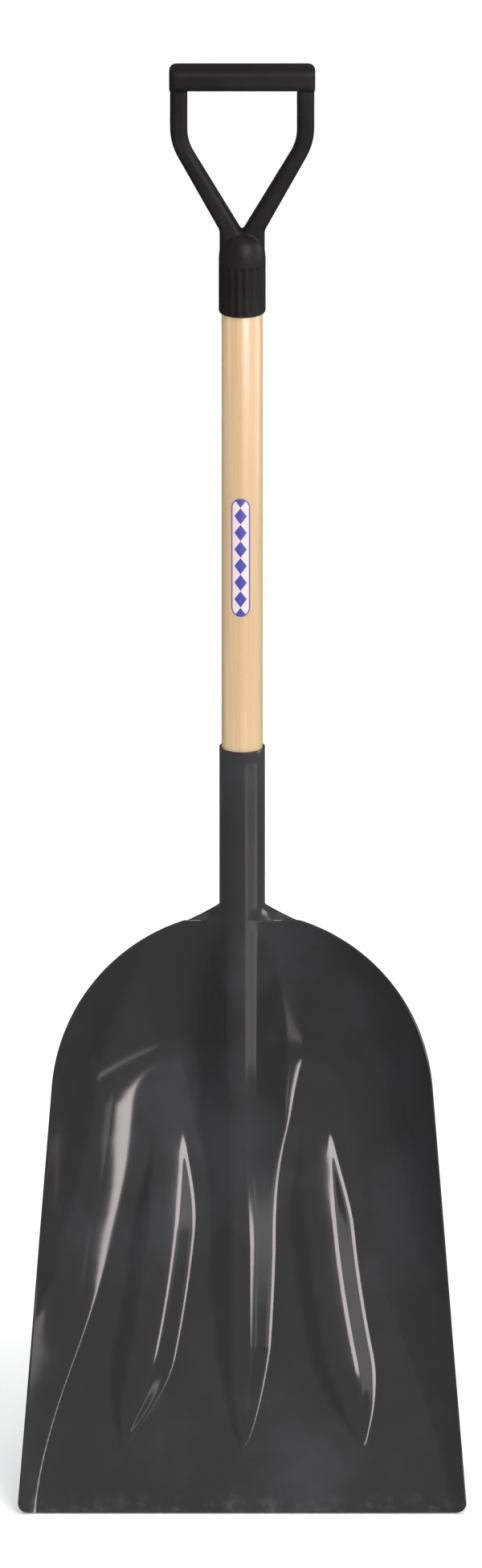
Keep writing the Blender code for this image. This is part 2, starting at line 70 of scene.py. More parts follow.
# Scoop, in the blade's own frame: t runs up the floor from the lip, n stands up from it into the hollow
LIFT = math.radians(17)
LIP_Y = -0.1023
LIP_Z = -1.2555
SHOULDER_RADIUS = 0.164
SHOULDER_CENTRE = 0.355
SIDE_TAPER = math.radians(4.7)
CORNER_RADIUS = 0.0085
RIM_HEIGHTS = (0.009, 0.074, 0.056)  # at the lip, at the shoulders, beside the socket
RIM_PEAK = 0.440  # run along the rim from the lip to its highest point
WALL_FOOTS = (0.014, 0.076, 0.164)  # how far the wall's foot lies inside the rim, at the same places
WALL_FOOT_T = 0.320  # where the foot has reached its distance at the shoulder
WALL_CURVES = (1.3, 2.4, 2.3)  # exponents of the wall's profile, at the same places
WALL_CURVE_T = (0.140, 0.260)
NECK_T = 0.5115  # where the wings start to wrap round the shaft
NECK_LENGTH = 0.010
NECK_SWEEP = 1.6  # exponent of the wings' turn towards the shaft
NECK_WRAP = math.radians(125)
WRAP_LENGTH = 0.060  # above the neck, until the seam is closed
SHEET_EDGE = 0.0005  # width of the bevel on the sheet's cut edge

# Ridge down the middle, which carries the socket's line on to the lip
RIDGE_HEIGHT = 0.0108
RIDGE_FULL_T = 0.265
RIDGE_TIP_T = 0.058
RIDGE_TIP_FALL = 1.6  # exponents of its fall to the tip
RIDGE_TIP_ROUND = 0.6
RIDGE_CROWNS = (0.0065, 0.0)  # half the width of its flat top: on the floor, under the socket
RIDGE_CREST_RADII = (0.012, 0.020)
RIDGE_CROWN_T = (0.220, 0.360)
RIDGE_FLANKS = (math.radians(32), math.radians(50), math.radians(46))  # floor, frog, neck
RIDGE_FLANK_T = (0.330, 0.420, 0.455, 0.510)
RIDGE_NARROWING = 0.0077  # a ridge lower than this keeps its shape and shrinks
RIDGE_BEND = 0.024
FOOT_RADII = (0.008, 0.028, 0.040)  # of the fillets at its flanks' feet

# Pressed ribs, one on each side of the ridge
RIB_TOP_T = 0.350
RIB_TIP_T = 0.054
RIB_HEIGHT = 0.0078
RIB_CROWN_RADIUS = 0.240
RIB_CROWN = math.radians(2.5)
RIB_SHOULDER_RADIUS = 0.010
RIB_FLANK = math.radians(30)
RIB_FOOT = 0.0014  # fillet at its foot, as a height
RIB_MIDDLE = (0.0635, 0.042)  # distance from the middle at its top, and how much further its tip is
RIB_SPREAD = 2.0  # exponent of its curve away from the middle
RIB_RISE_RUN = 0.36  # share of its length over which it rises out of the floor
RIB_TIP_RUN = 0.28  # share of its length over which it narrows to its tip
SMALLEST_SIZE = 0.02  # of a rib's or the ridge's cross-section at its very end

# Grip
BAR_HALF_LENGTH = 0.0625
BAR_HEIGHT = 0.0205
BAR_DEPTH = 0.027
BAR_ROUNDING = 0.0060
BAR_OVERHANG = 0.0008
BAR_CORNER_ROUNDING = 0.0060
PLATE_TOP_Z = 0.012  # the legs' plate ends inside the bar and inside the ferrule
PLATE_BOTTOM_Z = -0.1535
WAIST_HALF_WIDTH = 0.0196
WAIST_ROUNDING = 0.010
OPENING_OVERLAP = 0.004
LEG_WIDTH = 0.0152
LEG_DEPTH = 0.018
LEG_ROUNDING = 0.0050
LEG_BEND_Z = -0.048
LEG_BEND_RADIUS = 0.055
OPENING_APEX_Z = -0.1285
SHOULDER_Z = -0.1268  # where the legs' outer edges reach the ferrule
CORNER_ROUNDING = 0.004
OPENING_ROUNDING = 0.003
APEX_ROUNDING = 0.0015
FERRULE_RADIUS = 0.0204
FERRULE_BOTTOM_Z = -0.2015
FERRULE_TOP_Z = -0.1292
FERRULE_DOME = 0.026
FLUTE_TOP_Z = -0.156
FLUTE_DEPTH = 0.0011
FLUTES = 18
FLUTE_FADE = 0.0035  # height over which the flutes run out at their top
FLUTE_FOOT = 0.0002  # height of the plain rim below them
FLUTE_FOOT_FADE = 0.0022
FLUTE_SKIN = 0.0180  # only what lies further out than this is fluted, and the bore is not
FLUTE_SKIN_FADE = 0.0012
FERRULE_CHAMFER = 0.0010
BORE_CLEARANCE = 0.0020  # above the tenon's end
BORE_OVERRUN = 0.010  # how far its cutter reaches out below the ferrule
VOXEL = 0.0007  # of the moulding's skin

# Rivets
RIVET_RADIUS = 0.0025
RIVET_HEAD_RADIUS = 0.0055
RIVET_HEAD_HEIGHT = 0.0026
GRIP_RIVET_Z = -0.178
SOCKET_RIVETS_Z = (-0.616, -0.684)
RIVET_TIP_Y = -0.0140
RIVET_TIP_GAP = 0.0010
RIVET_TIP_CHAMFER = 0.0010

# Steps of the meshes
COLUMNS = 150
ROWS_ON_FLOOR = 170
ROWS_ON_SHOULDERS = 60
ROWS_ON_NECK = 24
ROWS_ON_WRAP = 16
NEAR = 1e-6
MERGE_DISTANCE = 0.00001

# Mark printed on the shaft: a plain chain of lozenges in a rounded frame, without lettering
MARK_Z = -0.4185
MARK_ASIDE = 0.0014
MARK_HALF_LENGTH = 0.0450
MARK_CELL = 0.0075  # half the length of one lozenge
MARK_FRAME_RADIUS = 0.0085
MARK_FIELD_RADIUS = 0.0074
MARK_LOZENGE = 0.0056
MARK_SLANT = 0.75
MARK_EDGE = 0.0002  # softness of each printed edge

# Studio
AIM = Vector((0.0, -0.05, -1.0))
FLOOR_SIZE = 30.0
FLOOR_GAP = 0.0012
CAMERA_AIM = Vector((-0.0010, -0.0300, -0.6191))
CAMERA_ELEVATION = 17.0
CAMERA_DISTANCE = 8.0
PICTURE_HEIGHT = 1.355


def smooth_step(value):
    v = np.clip(value, 0.0, 1.0)
    return v * v * (3.0 - 2.0 * v)


def eased(place, places, values):
    """A value that eases from one of the given values to the next between their places."""
    result = values[0]
    for start, end, low, high in zip(places[::2], places[1::2], values, values[1:]):
        result += (high - low) * float(smooth_step((place - start) / (end - start)))
    return result


def soft_max(a, b, blend):
    overlap = np.maximum(blend - np.abs(a - b), 0.0)
    return np.maximum(a, b) + overlap**2 / (4.0 * blend)


def blade_point(x, t, n):
    y = LIP_Y + t * math.sin(LIFT) - n * math.cos(LIFT)
    z = LIP_Z + t * math.cos(LIFT) + n * math.sin(LIFT)
    return np.stack(np.broadcast_arrays(x, y, z), axis=-1)


def side_line(t):
    return SHOULDER_RADIUS / math.cos(SIDE_TAPER) - (t - SHOULDER_CENTRE) * math.tan(SIDE_TAPER)


def half_width(t):
    if t > SHOULDER_CENTRE + SHOULDER_RADIUS * math.sin(SIDE_TAPER):
        return math.sqrt(SHOULDER_RADIUS**2 - (t - SHOULDER_CENTRE) ** 2)
    below = max(CORNER_RADIUS - t, 0.0)
    return side_line(t) - (CORNER_RADIUS - math.sqrt(CORNER_RADIUS**2 - below**2))


def bowl_height(x, t):
    above = np.maximum(t - SHOULDER_CENTRE, 0.0)
    angle = np.arctan2(above, np.maximum(x, NEAR))
    edge = SHOULDER_RADIUS / np.cos(np.maximum(SIDE_TAPER - angle, 0.0))
    inside = np.where(t > SHOULDER_CENTRE, edge - np.hypot(x, above), side_line(t) - x)
    run = np.minimum(t, SHOULDER_CENTRE) + SHOULDER_RADIUS * angle
    end = SHOULDER_CENTRE + SHOULDER_RADIUS * math.pi / 2
    lip, peak, neck = RIM_HEIGHTS
    height = lip + (peak - lip) * smooth_step(run / RIM_PEAK)
    height -= (peak - neck) * smooth_step((run - RIM_PEAK) / (end - RIM_PEAK))
    lip_foot, side_foot, neck_foot = WALL_FOOTS
    foot = lip_foot + (side_foot - lip_foot) * smooth_step(t / WALL_FOOT_T)
    towards_neck = smooth_step(2.0 * angle / math.pi)
    foot += (neck_foot - side_foot) * towards_neck
    at_lip, at_side, at_neck = WALL_CURVES
    curve = eased(t, WALL_CURVE_T, (at_lip, at_side)) + (at_neck - at_side) * towards_neck
    return height * np.clip(1.0 - inside / foot, 0.0, None) ** curve


def ridge_drop(x, crest_radius, flank):
    reach = crest_radius * math.sin(flank)
    arc = crest_radius - np.sqrt(crest_radius**2 - np.minimum(x, reach) ** 2)
    return arc + np.maximum(x - reach, 0.0) * math.tan(flank)


def ridge_height(x, t):
    low = np.clip((RIDGE_FULL_T - t) / (RIDGE_FULL_T - RIDGE_TIP_T), 0.0, 1.0)
    on_floor = RIDGE_HEIGHT * (1.0 - low**RIDGE_TIP_FALL) ** RIDGE_TIP_ROUND
    on_tube = t * math.tan(LIFT) + (LIP_Y + SOCKET_RADIUS) / math.cos(LIFT)
    crest = float(soft_max(on_floor, on_tube, RIDGE_BEND))
    flank = eased(t, RIDGE_FLANK_T, RIDGE_FLANKS)
    foot = eased(t, RIDGE_FLANK_T, FOOT_RADII)
    crown = eased(t, RIDGE_CROWN_T, RIDGE_CROWNS)
    crest_radius = eased(t, RIDGE_CROWN_T, RIDGE_CREST_RADII)
    size = max(min(crest / RIDGE_NARROWING, 1.0), SMALLEST_SIZE)
    blend = size * foot * math.tan(flank) ** 2 / 2.0
    crest -= blend * (1.0 - size)
    beyond_crown = np.maximum(x / size - crown, 0.0)
    return crest - size * ridge_drop(beyond_crown, crest_radius, flank), blend


def rib_height(x, t):
    """A pressed rib with a nearly flat crown: it sinks into the floor at its top and narrows to its tip."""
    run = (RIB_TOP_T - t) / (RIB_TOP_T - RIB_TIP_T)
    start, further = RIB_MIDDLE
    rise = float(smooth_step(run / RIB_RISE_RUN))
    narrowed = float(smooth_step((run - 1.0 + RIB_TIP_RUN) / RIB_TIP_RUN))
    size = max(math.sqrt(1.0 - narrowed), SMALLEST_SIZE)
    away = np.abs(x - start - further * run**RIB_SPREAD) / size
    crown = RIB_CROWN_RADIUS * math.sin(RIB_CROWN)
    skew = RIB_SHOULDER_RADIUS * math.sin(RIB_CROWN)
    drop = ridge_drop(np.minimum(away, crown), RIB_CROWN_RADIUS, RIB_CROWN)
    drop += ridge_drop(np.maximum(away - crown, 0.0) + skew, RIB_SHOULDER_RADIUS, RIB_FLANK)
    drop -= ridge_drop(np.array(skew), RIB_SHOULDER_RADIUS, RIB_FLANK)
    return size * ((RIB_HEIGHT + RIB_FOOT) * rise - drop) - RIB_FOOT


def surface_height(x, t):
    height = bowl_height(x, t)
    if RIB_TIP_T < t < RIB_TOP_T:
        height = soft_max(height, rib_height(x, t), RIB_FOOT)
    if t > RIDGE_TIP_T:
        ridge, blend = ridge_height(x, t)
        height = soft_max(height, ridge, blend)
    return height


def pan_rows():
    corner = [CORNER_RADIUS * (1.0 - math.cos(a)) for a in np.linspace(0.0, 1.3, 7)]
    turn = SHOULDER_CENTRE + SHOULDER_RADIUS * math.sin(SIDE_TAPER)
    floor = np.linspace(CORNER_RADIUS, turn, ROWS_ON_FLOOR)
    last = math.asin((NECK_T - SHOULDER_CENTRE) / SHOULDER_RADIUS)
    angles = np.linspace(SIDE_TAPER, last, ROWS_ON_SHOULDERS + 1)[1:]
    shoulder = SHOULDER_CENTRE + SHOULDER_RADIUS * np.sin(angles)
    rows = []
    for t in [*corner, *floor, *shoulder]:
        x = np.linspace(0.0, 1.0, COLUMNS) * half_width(t)
        rows.append(blade_point(x, t, surface_height(x, t)))
    return rows


def tube_row(fractions, wrap, z):
    angle = fractions * wrap
    z = np.full_like(angle, z)
    return np.stack([SOCKET_RADIUS * np.sin(angle), -SOCKET_RADIUS * np.cos(angle), z], axis=-1)


def socket_rows(last_pan_row):
    steps = np.linalg.norm(np.diff(last_pan_row, axis=0), axis=1)
    fractions = np.concatenate([[0.0], np.cumsum(steps)]) / steps.sum()
    base = last_pan_row[0, 2]
    rows = []
    for part in np.linspace(0.0, 1.0, ROWS_ON_NECK + 1)[1:]:
        rise = part * NECK_LENGTH
        wrapped = 1.0 - (1.0 - part) ** NECK_SWEEP
        lifted = last_pan_row + np.array([0.0, 0.0, rise])
        rows.append((1.0 - wrapped) * lifted + wrapped * tube_row(fractions, NECK_WRAP, base + rise))
    top_of_neck = base + NECK_LENGTH
    for part in np.linspace(0.0, 1.0, ROWS_ON_WRAP + 1)[1:]:
        wrap = NECK_WRAP + (math.pi - SEAM_ANGLE - NECK_WRAP) * float(smooth_step(part))
        rows.append(tube_row(fractions, wrap, top_of_neck + part * WRAP_LENGTH))
    for z in np.linspace(top_of_neck + WRAP_LENGTH, SOCKET_MOUTH_Z, 8)[1:]:
        rows.append(tube_row(fractions, math.pi - SEAM_ANGLE, z))
    return rows


def new_object(name, mesh):
    obj = bpy.data.objects.new(name, mesh)
    bpy.context.scene.collection.objects.link(obj)
    return obj


def grid_mesh(name, rows):
    points = np.array(rows)
    count, width = points.shape[:2]
    index = np.arange(count * width).reshape(count, width)
    faces = np.stack([index[:-1, :-1], index[:-1, 1:], index[1:, 1:], index[1:, :-1]], axis=-1)
    mesh = bpy.data.meshes.new(name)
    mesh.from_pydata(points.reshape(-1, 3).tolist(), [], faces.reshape(-1, 4).tolist())
    return mesh


def build_blade():
    pan = pan_rows()
    blade = new_object("blade_skin", grid_mesh("blade_skin", pan + socket_rows(pan[-1])))
    mirror = blade.modifiers.new("other_half", "MIRROR")
    mirror.merge_threshold = MERGE_DISTANCE
    shell = blade.modifiers.new("sheet", "SOLIDIFY")
    shell.thickness = SHEET
    shell.offset = -1.0
    edge = blade.modifiers.new("edge", "BEVEL")
    edge.limit_method = "ANGLE"
    edge.angle_limit = math.radians(60)
    edge.width = SHEET_EDGE
    edge.segments = 2
    blade.data.shade_smooth()
    return blade


def combine(obj, other, operation):
    other.hide_render = True
    modifier = obj.modifiers.new(operation.lower() + "_" + other.name, "BOOLEAN")
    modifier.operation = operation
    modifier.solver = "MANIFOLD"
    modifier.object = other


def turned(name, profile, steps=96):
    mesh = bpy.data.meshes.new(name)
    form = bmesh.new()
    verts = [form.verts.new((radius, 0.0, z)) for radius, z in profile]
    for upper, lower in zip(verts, verts[1:]):
        form.edges.new((upper, lower))
    form.to_mesh(mesh)
    form.free()
    obj = new_object(name, mesh)
    screw = obj.modifiers.new("turn", "SCREW")
    screw.steps = steps
    screw.render_steps = steps
    screw.use_merge_vertices = True
    screw.merge_threshold = MERGE_DISTANCE
    return obj


def build_shaft():
    shoulder = FERRULE_BOTTOM_Z - FIT_GAP
    profile = [
        (0.0, SHAFT_TOP_Z),
        (TENON_RADIUS - SHAFT_CHAMFER, SHAFT_TOP_Z),
        (TENON_RADIUS, SHAFT_TOP_Z - SHAFT_CHAMFER),
        (TENON_RADIUS, shoulder),
        (SHAFT_RADIUS - SHAFT_SHOULDER_ROUNDING, shoulder),
        (SHAFT_RADIUS - SHAFT_SHOULDER_STEP, shoulder - SHAFT_SHOULDER_STEP),
        (SHAFT_RADIUS, shoulder - SHAFT_SHOULDER_ROUNDING),
        (SHAFT_RADIUS, SHAFT_END_Z + SHAFT_TAPER_LENGTH),
        (SHAFT_END_RADIUS, SHAFT_END_Z + SHAFT_CHAMFER),
        (SHAFT_END_RADIUS - SHAFT_CHAMFER, SHAFT_END_Z),
        (0.0, SHAFT_END_Z),
    ]
    shaft = turned("shaft_wood", profile)
    smooth_by_angle(shaft)
    return shaft


def smooth_by_angle(obj, angle=30):
    """Applies the modifiers and shades the result smooth, with sharp edges over the angle."""
    bpy.context.view_layer.update()
    mesh = bpy.data.meshes.new_from_object(obj.evaluated_get(bpy.context.evaluated_depsgraph_get()))
    obj.modifiers.clear()
    obj.data = mesh
    mesh.shade_smooth()
    mesh.set_sharp_from_angle(angle=math.radians(angle))


def build_rivet(name, z, seat):
    seat += FIT_GAP
    angles = np.linspace(0.0, math.pi / 2, 12)
    profile = [
        (RIVET_HEAD_RADIUS * math.sin(a), seat + RIVET_HEAD_HEIGHT * math.cos(a)) for a in angles
    ]
    tip = RIVET_TIP_Y + RIVET_TIP_GAP
    profile += [(RIVET_RADIUS, seat), (RIVET_RADIUS, tip + RIVET_TIP_CHAMFER), (0.0, tip)]
    profile[0] = (0.0, seat + RIVET_HEAD_HEIGHT)
    obj = turned(name, profile, steps=48)
    obj.rotation_euler = (-math.pi / 2, 0.0, 0.0)
    obj.location = (0.0, 0.0, z)
    smooth_by_angle(obj, 50)
    return obj


def rounded_outline(corners):
    points = []
    for before, corner, after in zip(corners[-1:] + corners[:-1], corners, corners[1:] + corners[:1]):
        here = Vector(corner[:2])
        back = (Vector(before[:2]) - here).normalized()
        on = (Vector(after[:2]) - here).normalized()
        half = back.angle(on) / 2
        radius = corner[2]
        centre = here + (back + on).normalized() * radius / math.sin(half)
        start = here + back * radius / math.tan(half) - centre
        swing = start.angle_signed(here + on * radius / math.tan(half) - centre)
        count = max(2, math.ceil(abs(swing) / math.radians(6)) + 1)
        for part in np.linspace(0.0, swing, count):
            points.append(centre + Matrix.Rotation(-part, 2) @ start)
    return points


def standing_plate(name, outlines, depth, rounding):
    curve = bpy.data.curves.new(name, "CURVE")
    curve.dimensions = "2D"
    curve.fill_mode = "BOTH"
    curve.extrude = depth / 2 - rounding
    curve.bevel_depth = rounding
    curve.bevel_resolution = 4
    curve.offset = -rounding
    for outline in outlines:
        spline = curve.splines.new("POLY")
        spline.points.add(len(outline) - 1)
        for point, place in zip(spline.points, outline):
            point.co = (place[0], place[1], 0.0, 1.0)
        spline.use_cyclic_u = True
    guide = new_object(name + "_guide", curve)
    guide.rotation_euler = (math.pi / 2, 0.0, 0.0)
    bpy.context.view_layer.update()
    mesh = bpy.data.meshes.new_from_object(
        guide.evaluated_get(bpy.context.evaluated_depsgraph_get())
    )
    form = bmesh.new()
    form.from_mesh(mesh)
    bmesh.ops.remove_doubles(form, verts=form.verts, dist=MERGE_DISTANCE)
    bmesh.ops.recalc_face_normals(form, faces=form.faces)
    form.to_mesh(mesh)
    form.free()
    mesh.transform(guide.matrix_world)
    bpy.data.objects.remove(guide)
    return new_object(name, mesh)


def mirrored(corners):
    return corners + [(-x, z, rounding) for x, z, rounding in reversed(corners) if x > 0.0]


def grip_frame():
    outer = [
        (BAR_HALF_LENGTH, PLATE_TOP_Z, CORNER_ROUNDING),
        (BAR_HALF_LENGTH, LEG_BEND_Z, LEG_BEND_RADIUS),
        (WAIST_HALF_WIDTH, SHOULDER_Z, WAIST_ROUNDING),
        (WAIST_HALF_WIDTH, PLATE_BOTTOM_Z, OPENING_ROUNDING),
    ]
    inner = BAR_HALF_LENGTH - LEG_WIDTH
    opening = [
        (inner, OPENING_OVERLAP, OPENING_ROUNDING),
        (inner, LEG_BEND_Z, LEG_BEND_RADIUS - LEG_WIDTH),
        (0.0, OPENING_APEX_Z, APEX_ROUNDING),
    ]
    hole = rounded_outline(mirrored(opening))
    outlines = [rounded_outline(mirrored(outer)), hole[::-1]]
    return standing_plate("grip_body", outlines, LEG_DEPTH, LEG_ROUNDING)


def cross_bar():
    mesh = bpy.data.meshes.new("cross_bar")
    form = bmesh.new()
    half_length = BAR_HALF_LENGTH + BAR_OVERHANG
    size = Matrix.Diagonal((2 * half_length, BAR_DEPTH, BAR_HEIGHT, 1.0))
    middle = Matrix.Translation((0.0, 0.0, BAR_HEIGHT / 2))
    bmesh.ops.create_cube(form, size=1.0, matrix=middle @ size)
    top_edges = [e for e in form.edges if all(v.co.z > BAR_HEIGHT - NEAR for v in e.verts)]
    corners = [e for e in top_edges if abs(e.verts[0].co.x - e.verts[1].co.x) < NEAR]
    rounded = {"segments": 6, "profile": 0.5, "affect": "EDGES"}
    bmesh.ops.bevel(form, geom=corners, offset=BAR_CORNER_ROUNDING, **rounded)
    for side in (-1.0, 1.0):
        rim = [e for e in form.edges if all(side * v.co.y > BAR_DEPTH / 2 - NEAR for v in e.verts)]
        bmesh.ops.bevel(form, geom=rim, offset=BAR_ROUNDING, **rounded)
    form.to_mesh(mesh)
    form.free()
    return new_object("cross_bar", mesh)


def ferrule():
    dome = [
        (FERRULE_RADIUS * math.sqrt(math.sin(a)), FERRULE_TOP_Z - FERRULE_DOME * (1.0 - math.cos(a)))
        for a in np.linspace(0.0, math.pi / 2, 16)
    ]
    profile = dome + [
        (FERRULE_RADIUS, FERRULE_BOTTOM_Z + FERRULE_CHAMFER),
        (FERRULE_RADIUS - FERRULE_CHAMFER, FERRULE_BOTTOM_Z),
        (0.0, FERRULE_BOTTOM_Z),
    ]
    return turned("ferrule", profile)


def bore():
    radius = TENON_RADIUS + FIT_GAP
    top = SHAFT_TOP_Z + BORE_CLEARANCE
    low = FERRULE_BOTTOM_Z - BORE_OVERRUN
    return turned("bore", [(0.0, top), (radius, top), (radius, low), (0.0, low)])


def build_grip():
    grip = grip_frame()
    helpers = [cross_bar(), ferrule(), bore()]
    for piece, operation in zip(helpers, ("UNION", "UNION", "DIFFERENCE")):
        combine(grip, piece, operation)
    skin = grip.modifiers.new("skin", "REMESH")
    skin.mode = "VOXEL"
    skin.voxel_size = VOXEL
    skin.use_smooth_shade = True
    soften = grip.modifiers.new("soften", "SMOOTH")
    soften.factor = 0.5
    soften.iterations = 5
    bpy.context.view_layer.update()
    mesh = bpy.data.meshes.new_from_object(grip.evaluated_get(bpy.context.evaluated_depsgraph_get()))
    grip.modifiers.clear()
    grip.data = mesh
    for helper in helpers:
        bpy.data.objects.remove(helper)
    co = np.empty(len(mesh.vertices) * 3)
    mesh.vertices.foreach_get("co", co)
    co = co.reshape(-1, 3)
    out = np.hypot(co[:, 0], co[:, 1])
    angle = np.arctan2(co[:, 1], co[:, 0])
    on_skin = smooth_step((out - FLUTE_SKIN) / FLUTE_SKIN_FADE)
    fade = smooth_step((FLUTE_TOP_Z - co[:, 2]) / FLUTE_FADE)
    fade *= smooth_step((co[:, 2] - FERRULE_BOTTOM_Z - FLUTE_FOOT) / FLUTE_FOOT_FADE)
    wave = 0.5 - 0.5 * np.cos(FLUTES * angle)
    move = -FLUTE_DEPTH * wave * fade * on_skin
    co[:, 0] += move * np.cos(angle)
    co[:, 1] += move * np.sin(angle)
    mesh.vertices.foreach_set("co", co.ravel())
    mesh.shade_smooth()
    return grip


# Materials


class Nodes:
    """A material's node tree, with one short call for each kind of node."""

    def __init__(self, name):
        self.material = bpy.data.materials.new(name)
        self.material.use_nodes = True
        self.tree = self.material.node_tree
        self.shader = self.tree.nodes["Principled BSDF"]

    def link(self, source, target):
        if isinstance(source, (int, float, tuple)):
            target.default_value = source
        else:
            self.tree.links.new(source, target)

    def place(self):
        return self.tree.nodes.new("ShaderNodeTexCoord").outputs["Object"]

    def scaled(self, vector, scale):
        node = self.tree.nodes.new("ShaderNodeMapping")
        node.inputs["Scale"].default_value = scale
        self.link(vector, node.inputs["Vector"])
        return node.outputs["Vector"]

    def noise(self, vector, scale, detail, roughness):
        node = self.tree.nodes.new("ShaderNodeTexNoise")
        node.inputs["Scale"].default_value = scale
        node.inputs["Detail"].default_value = detail
        node.inputs["Roughness"].default_value = roughness
        self.link(vector, node.inputs["Vector"])
        return node.outputs["Fac"]

    def math(self, operation, a, b=0.0, clamp=False):
        node = self.tree.nodes.new("ShaderNodeMath")
        node.operation = operation
        node.use_clamp = clamp
        for value, socket in zip((a, b), node.inputs):
            self.link(value, socket)
        return node.outputs[0]

    def span(self, value, low, high, to_low=0.0, to_high=1.0):
        node = self.tree.nodes.new("ShaderNodeMapRange")
        node.interpolation_type = "SMOOTHSTEP"
        self.link(value, node.inputs["Value"])
        limits = {"From Min": low, "From Max": high, "To Min": to_low, "To Max": to_high}
        for name, number in limits.items():
            node.inputs[name].default_value = number
        return node.outputs["Result"]

    def mix(self, amount, a, b):
        node = self.tree.nodes.new("ShaderNodeMix")
        node.data_type = "RGBA"
        self.link(amount, node.inputs[0])
        self.link(a, node.inputs[6])
        self.link(b, node.inputs[7])
        return node.outputs[2]

    def bump(self, height, distance):
        node = self.tree.nodes.new("ShaderNodeBump")
        node.inputs["Strength"].default_value = 1.0
        node.inputs["Distance"].default_value = distance
        self.link(height, node.inputs["Height"])
        return node.outputs["Normal"]

    def split(self, vector):
        node = self.tree.nodes.new("ShaderNodeSeparateXYZ")
        self.link(vector, node.inputs[0])
        return node.outputs


def enamel_material():
    """Black enamel with a slight orange peel, a thin film of dust, and wear along the lip."""
    n = Nodes("blade_enamel")
    place = n.place()
    peel = n.noise(place, 55.0, 2.0, 0.4)
    mottle = n.noise(place, 9.0, 5.0, 0.6)
    dust = n.noise(place, 900.0, 2.0, 0.6)
    parts = n.split(place)
    near_lip = n.span(parts["Z"], -1.235, -1.254)
    scuff = n.noise(n.scaled(place, (60.0, 60.0, 60.0)), 1.0, 6.0, 0.7)
    worn = n.math("MULTIPLY", near_lip, n.span(scuff, 0.45, 0.80), clamp=True)
    worn = n.math("MULTIPLY", worn, 0.25)
    speck = n.math("MULTIPLY", n.span(dust, 0.68, 0.74), 0.10)
    film = n.math("ADD", n.span(mottle, 0.40, 0.75, 0.0, 0.10), speck)
    colour = n.mix(film, (0.0160, 0.0157, 0.0161, 1.0), (0.075, 0.080, 0.092, 1.0))
    colour = n.mix(worn, colour, (0.10, 0.10, 0.105, 1.0))
    n.link(colour, n.shader.inputs["Base Color"])
    rough = n.math("ADD", n.span(mottle, 0.3, 0.8, 0.09, 0.14), n.math("MULTIPLY", worn, 0.5))
    rough = n.math("ADD", rough, n.span(parts["Z"], -0.930, -0.840, 0.0, 0.05))
    n.link(rough, n.shader.inputs["Roughness"])
    n.shader.inputs["Specular IOR Level"].default_value = 0.43
    n.link(n.bump(peel, 0.00004), n.shader.inputs["Normal"])
    return n.material


